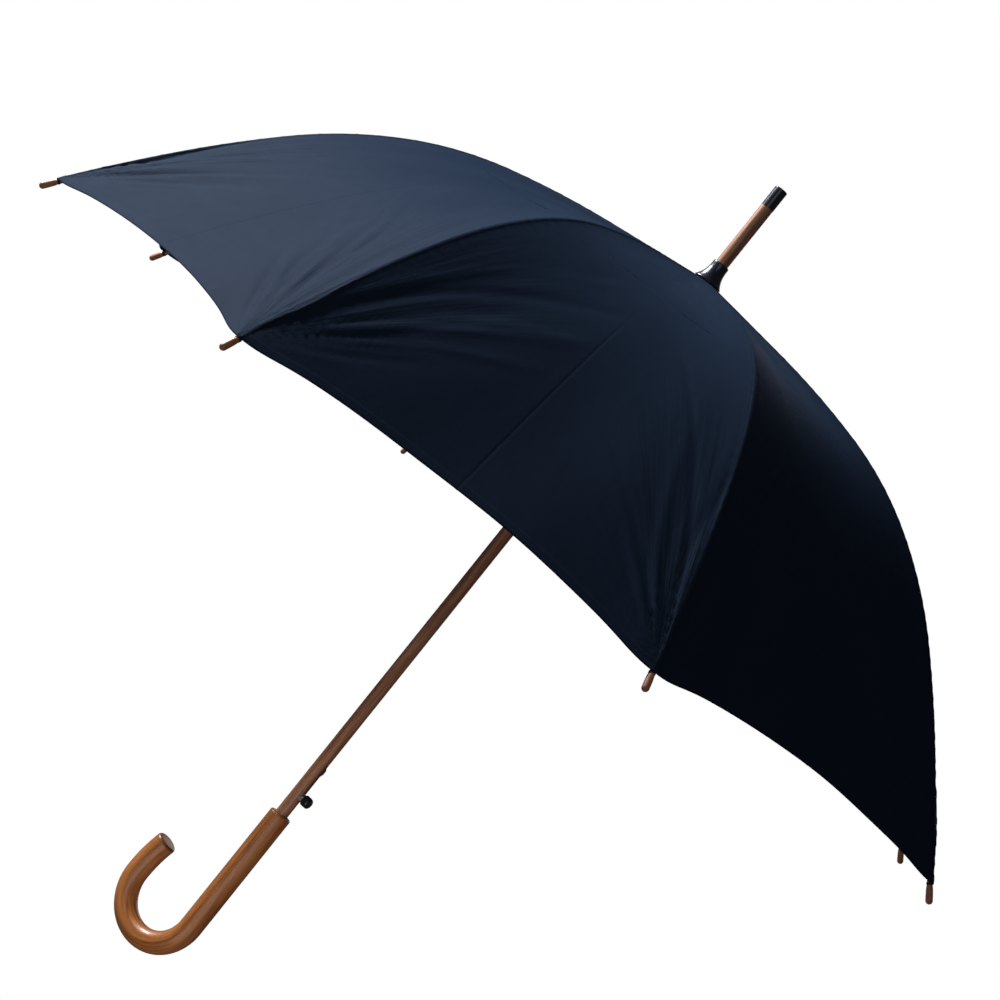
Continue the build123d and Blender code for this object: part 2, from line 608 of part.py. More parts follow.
# ---- handle: grip, crook and hook, with a blind bore for the shaft -------------------------------
with BuildPart() as handle:
    with BuildSketch(Plane.XZ):
        Polygon(
            (0, GRIP_FOOT_Z),
            (HANDLE_RADIUS, GRIP_FOOT_Z),
            (HANDLE_TOP_RADIUS, HANDLE_TOP_Z - HANDLE_ROUNDING),
            (HANDLE_TOP_RADIUS - HANDLE_ROUNDING, HANDLE_TOP_Z),
            (0, HANDLE_TOP_Z),
            align=None,
        )
    revolve(axis=Axis.Z)
    with BuildLine(Plane.XZ) as crook_path:
        crook = JernArc(start=(0, GRIP_FOOT_Z), tangent=(0, -1), radius=CROOK_RADIUS, arc_size=-180)
        JernArc(start=crook @ 1, tangent=crook % 1, radius=HOOK_RADIUS, arc_size=-HOOK_TURN)
    with BuildSketch(Plane.XY.offset(GRIP_FOOT_Z)):
        Circle(HANDLE_RADIUS)
    sweep(path=crook_path.line)
    hook_end = crook_path.line @ 1
    fillet(handle.faces().sort_by_distance(hook_end)[0].edges(), radius=HOOK_ROUNDING)
    with BuildSketch(Plane.XY.offset(HANDLE_TOP_Z)):
        Circle(FIXED_BORE)
    extrude(amount=-(HANDLE_TOP_Z - SHAFT_FOOT_Z), mode=Mode.SUBTRACT)
write(handle, "handle")


# ---- button and its chromed neck -----------------------------------------------------------------
STEM_FIT = 0.2
NECK_FIT = 0.3
BUTTON_ROUNDING = 2.2
BUTTON_FLOOR = NECK_TOP + BUTTON_TRAVEL + 0.4  # of the hollow that the neck slides into
BUTTON_PLANE = Plane(origin=(0, 0, BUTTON_Z), x_dir=(0, 1, 0), z_dir=(1, 0, 0))

with BuildPart() as button_neck:
    with BuildSketch(BUTTON_PLANE):
        Circle(NECK_RADIUS)
    extrude(amount=NECK_TOP)
    with BuildSketch(BUTTON_PLANE):
        Circle(STEM_RADIUS + STEM_FIT)
    extrude(amount=NECK_TOP, mode=Mode.SUBTRACT)
    with BuildSketch(Plane.XY.offset(BUTTON_Z - NECK_RADIUS - CUT)):
        Circle(FIXED_BORE)
    extrude(amount=2 * (NECK_RADIUS + CUT), mode=Mode.SUBTRACT)
write(button_neck, "button_neck")

with BuildPart() as button:
    with BuildSketch(BUTTON_PLANE.offset(BUTTON_SKIRT)):
        Circle(BUTTON_RADIUS)
    extrude(amount=BUTTON_FACE - BUTTON_SKIRT)
    fillet(button.faces().sort_by(Axis.X)[-1].edges(), radius=BUTTON_ROUNDING)
    with BuildSketch(BUTTON_PLANE.offset(BUTTON_SKIRT)):
        Circle(NECK_RADIUS + NECK_FIT)
    extrude(amount=BUTTON_FLOOR - BUTTON_SKIRT, mode=Mode.SUBTRACT)
    with BuildSketch(BUTTON_PLANE.offset(CATCH_FACE)):
        Circle(STEM_RADIUS)
    extrude(amount=BUTTON_FLOOR + 0.6 - CATCH_FACE)
write(button, "button")


# ---- catch: the spring-steel strip in the shaft's slot, with the nose that holds the runner ------
CATCH_THICKNESS = 1.0
CATCH_NOSE = 2.0
CATCH_NOSE_DROPS = (4.0, 8.0, 13.0)  # of the nose's corners below the strip's top

with BuildPart() as catch:
    with BuildSketch(Plane.XZ):
        Polygon(
            (CATCH_FACE - CATCH_THICKNESS, CATCH_Z[0]),
            (CATCH_FACE, CATCH_Z[0]),
            (CATCH_FACE, CATCH_Z[1] - CATCH_NOSE_DROPS[2]),
            (CATCH_FACE + CATCH_NOSE, CATCH_Z[1] - CATCH_NOSE_DROPS[1]),
            (CATCH_FACE + CATCH_NOSE, CATCH_Z[1] - CATCH_NOSE_DROPS[0]),
            (CATCH_FACE, CATCH_Z[1]),
            (CATCH_FACE - CATCH_THICKNESS, CATCH_Z[1]),
            align=None,
        )
    extrude(amount=CATCH_HALF_WIDTH, both=True)
write(catch, "catch")
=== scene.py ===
from math import acos, atan2, cos, hypot, pi, radians, sin, tan

import bpy
import numpy as np
from mathutils import Matrix, Vector


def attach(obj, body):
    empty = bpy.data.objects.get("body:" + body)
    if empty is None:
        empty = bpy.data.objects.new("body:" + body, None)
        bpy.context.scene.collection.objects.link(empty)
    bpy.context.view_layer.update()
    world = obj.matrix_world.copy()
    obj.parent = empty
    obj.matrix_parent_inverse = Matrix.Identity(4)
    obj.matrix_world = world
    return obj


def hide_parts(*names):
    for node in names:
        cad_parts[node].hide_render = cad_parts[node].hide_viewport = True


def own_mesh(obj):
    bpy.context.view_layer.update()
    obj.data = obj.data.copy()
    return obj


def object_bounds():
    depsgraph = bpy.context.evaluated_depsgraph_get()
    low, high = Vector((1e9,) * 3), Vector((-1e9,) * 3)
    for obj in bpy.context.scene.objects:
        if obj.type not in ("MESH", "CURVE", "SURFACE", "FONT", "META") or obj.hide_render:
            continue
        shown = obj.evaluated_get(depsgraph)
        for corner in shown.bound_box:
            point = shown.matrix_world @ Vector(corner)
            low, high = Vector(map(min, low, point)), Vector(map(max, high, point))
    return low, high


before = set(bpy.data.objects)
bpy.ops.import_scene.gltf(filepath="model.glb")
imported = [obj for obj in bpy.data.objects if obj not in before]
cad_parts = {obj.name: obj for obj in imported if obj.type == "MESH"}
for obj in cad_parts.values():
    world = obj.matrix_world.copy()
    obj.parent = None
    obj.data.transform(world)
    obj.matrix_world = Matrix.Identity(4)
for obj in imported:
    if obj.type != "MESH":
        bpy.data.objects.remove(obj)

CAD_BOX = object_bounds()

# ---- sizes, in metres ---------------------------------------------------------------------------
ARMS = 8
ARM_STEP = 2 * pi / ARMS
CROWN_RADIUS = 0.0102963  # of the rib line's start
CROWN_Z = 0.676
RIB_LENGTH = 0.597
# How steeply the rib falls, at equal steps from the crown to its end.
RIB_DROOPS = tuple(radians(a) for a in (5.0, 9.0, 15.5, 31.6, 44.8, 49.9, 52.9))
FABRIC_TOP = (0.009, 0.679)  # radius and height of the cloth's top edge
HEM_RISE = 0.0173  # how far the hem is cut back between two ribs, along the cloth
CORNER_HOLD = 0.075  # share of the width over which the corner keeps its full length
SAG = 0.0075  # how far the taut cloth bows in between two ribs
SPLIT_AT = 0.240  # along the rib: where the rib bends as it closes
LAP = 0.016  # the lower cloth runs on this far under the upper at the gore's middle
LAP_DEPTH = 0.0008
HEM_WIDTH = 0.0075
SLACK = 0.0005  # size of each wave of slack in the cloth
FLAT_SPARE = 1.01  # the bow and the folds take up a little more cloth than the UVs show
SLACK_WAVES = 7
FOLDS = 22
FOLD_FAN = 52  # degrees from the rib to the last fold
FOLD_DEPTH = 0.0019
PUCKER_PITCHES = (0.0105, 0.0171)  # of the two waves of gathers beside the seam
PUCKER_DEPTH = 0.00022
SEAM_HEIGHT = 0.00030
CREASE_DEPTH = 0.00022
HEM_HEIGHT = 0.00016
HEM_TURN = 0.0005  # how far the hem's last edge turns in
STITCH_AT = 0.0032  # the seam's line of stitches, from the rib
STITCH_HALF_WIDTH = 0.0005
WEAVE_PITCH = 0.0006
HOOK_END_GRAIN_AT = 0.3545  # along the handle's V
FOLD_SEED, GORE_SEED, SEAM_SEED = 40, 90, 130


# ---- camera: level with the canopy's hem, rolled so that the umbrella leans -----------------------
CAMERA_PLACE = Vector((1.0773, -1.9800, 0.4437))
CAMERA_AHEAD = Vector((-0.48691, 0.87333, -0.01469))
CAMERA_ROLL = radians(38.7)
CAMERA_LENS = 90.24


def camera_axes():
    ahead = CAMERA_AHEAD.normalized()
    level_right = ahead.cross(Vector((0, 0, 1))).normalized()
    level_up = level_right.cross(ahead)
    right = level_right * cos(CAMERA_ROLL) + level_up * sin(CAMERA_ROLL)
    up = level_up * cos(CAMERA_ROLL) - level_right * sin(CAMERA_ROLL)
    return right, up, ahead


def placed(right, up, back, place):
    m = Matrix((right, up, back)).transposed().to_4x4()
    m.translation = place
    return m


def add_camera():
    right, up, ahead = camera_axes()
    data = bpy.data.cameras.new("camera")
    data.lens = CAMERA_LENS
    data.sensor_width = 36.0
    data.clip_end = 60.0
    camera = bpy.data.objects.new("camera", data)
    camera.matrix_world = placed(right, up, -ahead, CAMERA_PLACE)
    bpy.context.scene.collection.objects.link(camera)
    bpy.context.scene.camera = camera


add_camera()


# ---- node helpers --------------------------------------------------------------------------------
class Shader:
    """A material under construction: thin wrappers that add nodes and join them."""

    def __init__(self, name):
        self.material = bpy.data.materials.new(name)
        self.material.use_nodes = True
        self.tree = self.material.node_tree
        self.nodes = self.tree.nodes
        self.surface = self.nodes["Principled BSDF"]

    def add(self, kind, **values):
        node = self.nodes.new(kind)
        for key, value in values.items():
            if key in node.inputs:
                node.inputs[key].default_value = value
            else:
                setattr(node, key, value)
        return node

    def join(self, out, into):
        self.tree.links.new(out, into)

    def coordinates(self, kind, scale):
        """Object or UV coordinates, stretched by a scale along each axis."""
        source = self.add("ShaderNodeTexCoord")
        mapping = self.add("ShaderNodeMapping")
        mapping.inputs["Scale"].default_value = scale
        self.join(source.outputs[kind], mapping.inputs["Vector"])
        return mapping.outputs["Vector"]

    def noise(self, vector, scale=1.0, detail=3.0, rough=0.5, distort=0.0):
        node = self.add("ShaderNodeTexNoise")
        for key, value in (("Scale", scale), ("Detail", detail), ("Roughness", rough),
                           ("Distortion", distort)):
            node.inputs[key].default_value = value
        self.join(vector, node.inputs["Vector"])
        return node.outputs["Fac"]

    def math(self, kind, a, b=None):
        node = self.add("ShaderNodeMath", operation=kind)
        for socket, value in zip(node.inputs, (a, b)):
            if value is None:
                continue
            if isinstance(value, (int, float)):
                socket.default_value = value
            else:
                self.join(value, socket)
        return node.outputs[0]

    def ramp(self, factor, stops):
        node = self.add("ShaderNodeValToRGB")
        marks = node.color_ramp.elements
        while len(marks) < len(stops):
            marks.new(0.5)
        for mark, (place, colour) in zip(marks, stops):
            mark.position = place
            mark.color = (*colour, 1.0)
        self.join(factor, node.inputs["Fac"])
        return node.outputs["Color"]

    def scale_to(self, value, low, high, start=0.0, end=1.0):
        node = self.add("ShaderNodeMapRange")
        for key, number in (("From Min", start), ("From Max", end), ("To Min", low), ("To Max", high)):
            node.inputs[key].default_value = number
        self.join(value, node.inputs["Value"])
        return node.outputs["Result"]

    def mix(self, factor, a, b):
        node = self.add("ShaderNodeMix", data_type="RGBA")
        for socket, value in ((node.inputs[0], factor), (node.inputs[6], a), (node.inputs[7], b)):
            if isinstance(value, tuple):
                socket.default_value = (*value, 1.0)
            elif isinstance(value, (int, float)):
                socket.default_value = value
            else:
                self.join(value, socket)
        return node.outputs[2]

    def bump(self, height, strength, distance):
        node = self.add("ShaderNodeBump")
        node.inputs["Strength"].default_value = strength
        node.inputs["Distance"].default_value = distance
        self.join(height, node.inputs["Height"])
        self.join(node.outputs["Normal"], self.surface.inputs["Normal"])

    def set(self, **values):
        for key, value in values.items():
            socket = self.surface.inputs[key.replace("_", " ")]
            if isinstance(value, tuple):
                value = (*value, 1.0)
            socket.default_value = value

    def feed(self, name, out):
        self.join(out, self.surface.inputs[name])


# ---- materials -----------------------------------------------------------------------------------
def canopy_cloth():
    """Fine pongee. U runs from the rib to the gore's middle and V down the rib, both in metres."""
    s = Shader("canopy_cloth")
    uv = s.coordinates("UV", (1, 1, 1))
    split = s.add("ShaderNodeSeparateXYZ")
    s.join(uv, split.inputs[0])
    u, v = split.outputs[0], split.outputs[1]
    mottle = s.noise(s.coordinates("UV", (14, 5, 1)), detail=4.0)
    base = s.ramp(mottle, [(0.3, (0.0105, 0.0180, 0.0350)), (0.7, (0.0130, 0.0215, 0.0410))])
    off_seam = s.math("ABSOLUTE", s.math("SUBTRACT", u, STITCH_AT))
    seam = s.math("LESS_THAN", off_seam, STITCH_HALF_WIDTH)
    base = s.mix(s.math("MULTIPLY", seam, 0.45), base, (0.004, 0.005, 0.009))
    s.feed("Base Color", base)
    s.feed("Roughness", s.scale_to(s.noise(uv, scale=60.0), 0.52, 0.62))
    s.set(Sheen_Weight=0.02, Sheen_Roughness=0.4, Specular_IOR_Level=0.008)
    s.set(Sheen_Tint=(0.35, 0.55, 1.0), Specular_Tint=(0.4, 0.6, 1.0))
    weave_u = s.math("SINE", s.math("MULTIPLY", u, 2 * pi / WEAVE_PITCH))
    weave_v = s.math("SINE", s.math("MULTIPLY", v, 2 * pi / WEAVE_PITCH))
    weave = s.math("MULTIPLY", weave_u, weave_v)
    up = s.math("SUBTRACT", RIB_LENGTH, v)
    reach = s.math("SQRT", s.math("ADD", s.math("MULTIPLY", u, u), s.math("MULTIPLY", up, up)))
    fan = s.add("ShaderNodeCombineXYZ")
    turn = s.math("ARCTAN2", u, up)
    s.join(s.math("MULTIPLY", turn, 26.0), fan.inputs[0])
    s.join(s.math("MULTIPLY", reach, 7.0), fan.inputs[1])
    creases = s.noise(fan.outputs[0], scale=1.0, detail=4.0, rough=0.6)
    near = s.scale_to(reach, 1.0, 0.0, start=0.04, end=0.34)
    near = s.math("MULTIPLY", near, s.scale_to(turn, 1.0, 0.0, start=0.22, end=0.75))
    soft = s.noise(s.coordinates("UV", (40, 12, 1)), detail=3.0)
    wavy = s.math("ADD", s.math("MULTIPLY", s.math("MULTIPLY", creases, near), 3.2), soft)
    s.bump(s.math("ADD", s.math("MULTIPLY", weave, 0.05), wavy), 0.5, 0.0010)
    return s.material


def wood(name, light, dark, along, streaks, gloss, end_at=None):
    """Stained and lacquered wood, grained along V or Z, with dark end grain from V = end_at on."""
    s = Shader(name)
    kind, scale = along
    grain = s.coordinates(kind, scale)
    bands = s.noise(grain, scale=1.0, detail=6.0, rough=0.62, distort=0.6)
    fine = s.noise(grain, scale=3.4, detail=5.0, rough=0.7)
    cloud = s.noise(s.coordinates(kind, tuple(0.12 * c for c in scale)), detail=2.0)
    tone = s.math("ADD", s.math("MULTIPLY", bands, 0.62), s.math("MULTIPLY", fine, 0.38))
    middle = tuple((a + b) / 2 for a, b in zip(light, dark))
    colour = s.ramp(tone, [(0.36, dark), (0.48, middle), (0.60, light)])
    deep = tuple(0.45 * c for c in dark)
    pores = s.math("LESS_THAN", fine, 0.36)
    colour = s.mix(s.math("MULTIPLY", pores, streaks), colour, deep)
    colour = s.mix(s.math("MULTIPLY", cloud, 0.35), colour, dark)
    if end_at is not None:
        split = s.add("ShaderNodeSeparateXYZ")
        s.join(s.coordinates("UV", (1, 1, 1)), split.inputs[0])
        at_end = s.scale_to(split.outputs[1], 0.0, 0.8, start=end_at - 0.002, end=end_at + 0.001)
        colour = s.mix(at_end, colour, tuple(0.4 * c for c in dark))
    s.feed("Base Color", colour)
    s.feed("Roughness", s.scale_to(bands, 0.34, 0.48))
    s.set(Coat_Weight=gloss, Coat_Roughness=0.16, Coat_IOR=1.5, Specular_IOR_Level=0.35)
    s.bump(tone, 0.12, 0.0004)
    return s.material


def plastic(name, colour, rough):
    s = Shader(name)
    place = s.coordinates("Object", (1, 1, 1))
    cloud = s.math("MULTIPLY", s.noise(place, scale=90.0), 0.5)
    s.feed("Base Color", s.mix(cloud, colour, tuple(1.8 * c for c in colour)))
    s.feed("Roughness", s.scale_to(s.noise(place, scale=400.0, detail=4.0), rough - 0.05, rough + 0.07))
    s.bump(s.noise(place, scale=1500.0), 0.05, 0.0001)
    return s.material


def metal(name, colour, rough, brushed):
    s = Shader(name)
    place = s.coordinates("Object", (1, 1, 0.15) if brushed else (1, 1, 1))
    stain = s.noise(place, scale=160.0, detail=4.0)
    s.feed("Base Color", s.mix(s.math("MULTIPLY", stain, 0.4), colour, tuple(0.6 * c for c in colour)))
    s.feed("Roughness", s.scale_to(s.noise(place, scale=700.0, detail=5.0), rough - 0.06, rough + 0.1))
    s.set(Metallic=1.0)
    s.bump(s.noise(place, scale=1800.0), 0.06, 0.0001)
    return s.material


CLOTH = canopy_cloth()
SHAFT_WOOD = wood("shaft_wood", (0.50, 0.225, 0.115), (0.19, 0.066, 0.030),
                  along=("Object", (420, 420, 16)), streaks=0.5, gloss=0.35)
HANDLE_WOOD = wood("handle_wood", (0.50, 0.185, 0.050), (0.20, 0.055, 0.012),
                   along=("UV", (300, 14, 1)), streaks=0.3, gloss=0.22, end_at=HOOK_END_GRAIN_AT)
TIP_WOOD = wood("tip_wood", (0.52, 0.23, 0.11), (0.27, 0.095, 0.04),
                along=("UV", (700, 60, 1)), streaks=0.35, gloss=0.08)
BLACK_PLASTIC = plastic("black_plastic", (0.009, 0.012, 0.024), 0.26)
BUTTON_BLACK = plastic("button_black", (0.008, 0.008, 0.012), 0.14)
CHROME = metal("chrome", (0.80, 0.80, 0.83), 0.34, False)
FRAME_STEEL = metal("frame_steel", (0.38, 0.39, 0.41), 0.34, True)
THREAD = plastic("thread", (0.012, 0.014, 0.022), 0.6)
SPRING_STEEL = metal("spring_steel", (0.16, 0.16, 0.18), 0.36, True)

NODE_MATERIALS = {
    "shaft": SHAFT_WOOD, "ferrule_cap": BLACK_PLASTIC,
    "top_notch": BLACK_PLASTIC, "stretcher_hub": BLACK_PLASTIC, "runner": BLACK_PLASTIC,
    "button": BUTTON_BLACK, "button_neck": CHROME, "catch": SPRING_STEEL,
}
ARM_MATERIALS = {
    "rib_inner": FRAME_STEEL, "rib_outer": FRAME_STEEL, "stretcher": FRAME_STEEL, "flirt": FRAME_STEEL,
}


def finish_nodes():
    for name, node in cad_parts.items():
        material = NODE_MATERIALS.get(name) or ARM_MATERIALS.get(name.rsplit("_", 1)[0])
        if material is None:
            continue
        for slot in node.material_slots:
            slot.material = material
        if not node.material_slots:
            node.data.materials.append(material)


# ---- meshes --------------------------------------------------------------------------------------
def grid_mesh(name, points, uvs, material):
    """Smooth mesh through a rows by columns array of points, with UVs in metres."""
    rows, columns = points.shape[:2]
    index = np.arange(rows * columns).reshape(rows, columns)
    quads = np.stack([index[:-1, :-1], index[:-1, 1:], index[1:, 1:], index[1:, :-1]], -1)
    quads = quads.reshape(-1, 4)
    data = bpy.data.meshes.new(name)
    data.from_pydata(points.reshape(-1, 3).tolist(), [], quads.tolist())
    flat = uvs.reshape(-1, 2)
    layer = data.uv_layers.new(name="UVMap")
    corners = np.empty(len(data.loops), int)
    data.loops.foreach_get("vertex_index", corners)
    layer.data.foreach_set("uv", flat[corners].astype(np.float32).ravel())
    data.shade_smooth()
    data.materials.append(material)
    piece = bpy.data.objects.new(name, data)
    bpy.context.scene.collection.objects.link(piece)
    return piece


# ---- canopy --------------------------------------------------------------------------------------
SPAN = RIB_LENGTH / (len(RIB_DROOPS) - 1)
UPWARD = np.array([0, 0, 1.0])


def rib_line(s):
    """Radius, height and droop of the rib's line at arc lengths s: six tangent arcs."""
    s = np.asarray(s, float)
    r = np.full_like(s, CROWN_RADIUS)
    z = np.full_like(s, CROWN_Z)
    tilt = np.zeros_like(s)
    for i, (low, high) in enumerate(zip(RIB_DROOPS, RIB_DROOPS[1:])):
        run = np.clip(s - i * SPAN, 0, SPAN)
        turn = (high - low) / SPAN
        end = low + turn * run
        r += (np.sin(end) - sin(low)) / turn
        z += (np.cos(end) - cos(low)) / turn
        tilt = np.where(s >= i * SPAN, end, tilt)
    return r, z, tilt


def crown_tangent():
    """Arc length where the straight cloth near the crown meets the rib's first arc, and its slope."""
    start = RIB_DROOPS[0]
    radius = SPAN / (RIB_DROOPS[1] - start)
    x = FABRIC_TOP[0] - CROWN_RADIUS + radius * sin(start)
    y = FABRIC_TOP[1] - CROWN_Z + radius * cos(start)
    slope = acos(radius / hypot(x, y)) + atan2(x, y)
    return radius * (slope - start), slope


TANGENT_AT, CROWN_SLOPE = crown_tangent()
TANGENT_POINT = tuple(float(a) for a in rib_line(TANGENT_AT)[:2])
CLOTH_TOP = TANGENT_AT - hypot(TANGENT_POINT[0] - FABRIC_TOP[0], TANGENT_POINT[1] - FABRIC_TOP[1])


def ridge(s):
    """The cloth over a rib: straight from the crown, then along the rib's arcs."""
    s = np.asarray(s, float)
    r, z, tilt = rib_line(np.maximum(s, TANGENT_AT))
    before = np.minimum(s - TANGENT_AT, 0)
    return r + before * cos(CROWN_SLOPE), z - before * sin(CROWN_SLOPE), tilt


def out_from(azimuth):
    return np.array([cos(azimuth), sin(azimuth), 0.0])


def fade_in(x):
    """0 up to x = 0, 1 from x = 1 on, and a smooth step between."""
    x = np.clip(x, 0, 1)
    return x * x * (3 - 2 * x)


def hem_at(across):
    """Arc length of the hem, for a share of the way from one rib to the next."""
    hold = np.exp(-((across / CORNER_HOLD) ** 2))
    return RIB_LENGTH - HEM_RISE * 4 * across * (1 - across) * (1 - hold)


def cloth_points(arm, side, s, across, lap_depth):
    """Points of the gore beside a rib. across runs from 0 on the rib to 0.5 at the gore's middle."""
    here = arm * ARM_STEP
    there = here + side * ARM_STEP
    r, z, tilt = ridge(s)
    share = across[..., None]
    flat = (1 - share) * out_from(here) + share * out_from(there)
    points = r[..., None] * flat
    points[..., 2] = z
    middle = out_from((here + there) / 2)
    slope = np.arctan(np.tan(tilt) / cos(ARM_STEP / 2))[..., None]
    inward = -(np.sin(slope) * middle + np.cos(slope) * UPWARD)
    bow = SAG * np.sin(pi * np.clip(s, 0, RIB_LENGTH) / RIB_LENGTH) * 4 * across * (1 - across)
    width = 2 * r * across * sin(ARM_STEP / 2)
    bow = bow + tip_folds(arm, side, s, width) * fade_in((0.5 - across) / 0.08)
    bow = bow + undulation(arm, side, s, across)
    bow = bow + seam_and_hem(arm, side, s, across, width, r)
    bow = bow + lap_depth * fade_in((SPLIT_AT - s) / 0.002)
    return points + bow[..., None] * inward


def tip_folds(arm, side, s, width):
    """Tension folds that fan out of the rib's tip, as an inward offset."""
    draw = np.random.default_rng(FOLD_SEED + 2 * arm + (side > 0))
    up = np.maximum(RIB_LENGTH - s, 1e-6)
    reach = np.hypot(width, up)
    angle = np.arctan2(width, up)
    offset = np.zeros_like(reach)
    for i in range(FOLDS):
        centre = radians(draw.uniform(2, 5) + FOLD_FAN * (i / FOLDS) ** 1.3)
        bend = radians(draw.uniform(-9, 9)) * reach / 0.1
        breadth = radians(draw.uniform(0.9, 2.0)) * (1 + 0.8 * i / FOLDS)
        length = draw.uniform(0.07, 0.25) * (1 - 0.45 * i / FOLDS)
        depth = draw.uniform(0.45, 1.0) * FOLD_DEPTH * (1 if i % 2 else -0.75)
        along = fade_in(reach / 0.045) * np.exp(-((reach / length) ** 2.4))
        offset += depth * along * np.exp(-(((angle - centre - bend) / breadth) ** 2))
    return offset * fade_in(width / 0.004)


def undulation(arm, side, s, across):
    """Shallow slack in the whole gore, as an inward offset that vanishes on the ribs."""
    gore = arm if side > 0 else (arm - 1) % ARMS
    draw = np.random.default_rng(GORE_SEED + gore)
    share = across if side > 0 else 1 - across
    offset = np.zeros_like(s * share)
    for _ in range(SLACK_WAVES):
        lengthwise, crosswise = draw.uniform(3, 13), draw.uniform(1, 6)
        phase = draw.uniform(0, 2 * pi) + lengthwise * s / RIB_LENGTH
        offset += draw.uniform(0.3, 1.0) * np.sin(phase + crosswise * share * pi)
    return SLACK * offset * 4 * share * (1 - share) * fade_in(s / 0.15)


def seam_and_hem(arm, side, s, across, width, r):
    """Sewn seam with its puckers beside the rib, the pressed crease down the middle and the hem's step."""
    draw = np.random.default_rng(SEAM_SEED + arm)
    phase = draw.uniform(0, 2 * pi)
    short, long = (2 * pi / pitch for pitch in PUCKER_PITCHES)
    gathers = np.sin(short * s + phase) + 0.6 * np.sin(long * s + 2 * phase)
    beside_rib = np.exp(-width / 0.0055) * fade_in(width / 0.0015)
    pucker = PUCKER_DEPTH * gathers * beside_rib * fade_in(s / 0.12)
    off_rib = fade_in(width / 0.0012)
    seam = -SEAM_HEIGHT * (1 - fade_in((width - 0.0022) / 0.0014)) * fade_in(s / 0.03) * off_rib
    from_middle = r * sin(ARM_STEP / 2) - width
    crease = CREASE_DEPTH * np.exp(-((from_middle / 0.0011) ** 2)) * fade_in((s - 0.26) / 0.16)
    to_hem = hem_at(across) - s
    hem = -HEM_HEIGHT * (1 - fade_in((to_hem - HEM_WIDTH) / 0.0012)) * fade_in(to_hem / 0.0006)
    hem = hem + HEM_TURN * (1 - fade_in(to_hem / 0.0008))
    return pucker + seam + crease + hem * off_rib


def columns():
    """Shares across half a gore: close together beside the rib and at the middle."""
    rib = np.array([0, 0.0016, 0.0036, 0.006, 0.009, 0.013, 0.018, 0.024])
    middle = 0.5 - np.array([0.024, 0.014, 0.008, 0.0045, 0.002, 0])
    return np.concatenate([rib, np.linspace(0.032, 0.466, 40), middle])


def rows(s_from, to_hem):
    """Shares down a piece; a piece that ends at the hem has close rows there."""
    if not to_hem:
        return np.linspace(0, 1, 66)
    length = RIB_LENGTH - s_from
    hem = 1 - np.array([0.0095, 0.0088, 0.0082, 0.0076, 0.007, 0.005, 0.003, 0.0014, 0.0007, 0]) / length
    return np.concatenate([np.linspace(0, hem[0], 108)[:-1], hem])


def cloth_sheet(name, arm, side, s_from, s_to=None):
    """Half a gore, from s_from to s_to down the rib, or to the hem with a lap at its top."""
    to_hem = s_to is None
    t = rows(s_from, to_hem)[:, None]
    across = columns()[None, :] + 0 * t
    end = hem_at(across) if to_hem else s_to
    lap = LAP * fade_in((across - 0.2) / 0.2) if to_hem else 0
    start = s_from - lap
    s = start + (end - start) * t + 0 * across
    points = cloth_points(arm, side, s, across, LAP_DEPTH if to_hem else 0)
    r = ridge(s)[0]
    uvs = np.stack([2 * across * r * sin(ARM_STEP / 2), s], -1)
    if side < 0:
        points, uvs = points[:, ::-1], uvs[:, ::-1]
    return grid_mesh(name, points, uvs, CLOTH)


def flat_size(piece):
    """Width and length of the box round the cut cloth, from its UVs in metres."""
    layer = piece.data.uv_layers[0].data
    uvs = np.empty(2 * len(layer), np.float32)
    layer.foreach_get("uv", uvs)
    spread = np.ptp(uvs.reshape(-1, 2), axis=0) * FLAT_SPARE
    return float(spread[0]), float(spread[1])


def rib_anchor(arm, s):
    r, z, _ = rib_line(s)
    point = float(r) * out_from(arm * ARM_STEP)
    return Vector((point[0], point[1], float(z)))


# Fold values for each piece, for a canopy in which every gore wraps the same way round, half a under its
# neighbour's half b; this script reads only the anchor's place and folds nothing.
UPPER_FOLD = (radians(11.2), 0.12, 0.25)  # tilt of the rib's chord, anchor's place on the rib, width kept
LOWER_FOLD = (radians(42.6), 0.345, 0.18)


def add_canopy():
    for arm in range(ARMS):
        for side, letter in ((1, "a"), (-1, "b")):
            gore = f"gore_{arm if side > 0 else (arm - 1) % ARMS}"
            upper = cloth_sheet(f"canopy_upper_{arm}{letter}", arm, side, CLOTH_TOP, SPLIT_AT)
            lower = cloth_sheet(f"canopy_lower_{arm}{letter}", arm, side, SPLIT_AT)
            for piece, body, (tilt, s, keep) in (
                (upper, f"rib_{arm}", UPPER_FOLD),
                (lower, f"rib_end_{arm}", LOWER_FOLD),
            ):
                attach(piece, body)
                rib_anchor(arm, s)
                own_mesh(piece)
                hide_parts(gore)
                flat_size(piece)


# ---- wooden handle, with its grain along the crook ---------------------------------------------------
HANDLE_TOP_Z = 0.066
HANDLE_RADII = (0.0107, 0.0109)  # at the top, and from the crook on
HANDLE_ROUNDING = 0.0012
GRIP_FOOT_Z = -0.064
CROOK_RADIUS = 0.040
HOOK_RADIUS = 0.145
HOOK_TURN = radians(16.0)
HOOK_ROUNDING = 0.003
BORE_RADIUS = 0.0063
BORE_FLOOR_Z = 0.016
ROUND_STEPS = 72
GRIP_LENGTH = HANDLE_TOP_Z - GRIP_FOOT_Z
CROOK_LENGTH = pi * CROOK_RADIUS
HANDLE_LENGTH = GRIP_LENGTH + CROOK_LENGTH + HOOK_RADIUS * HOOK_TURN
GRAIN_ROUND = 0.069  # length that the grain's U gives to one turn round the handle


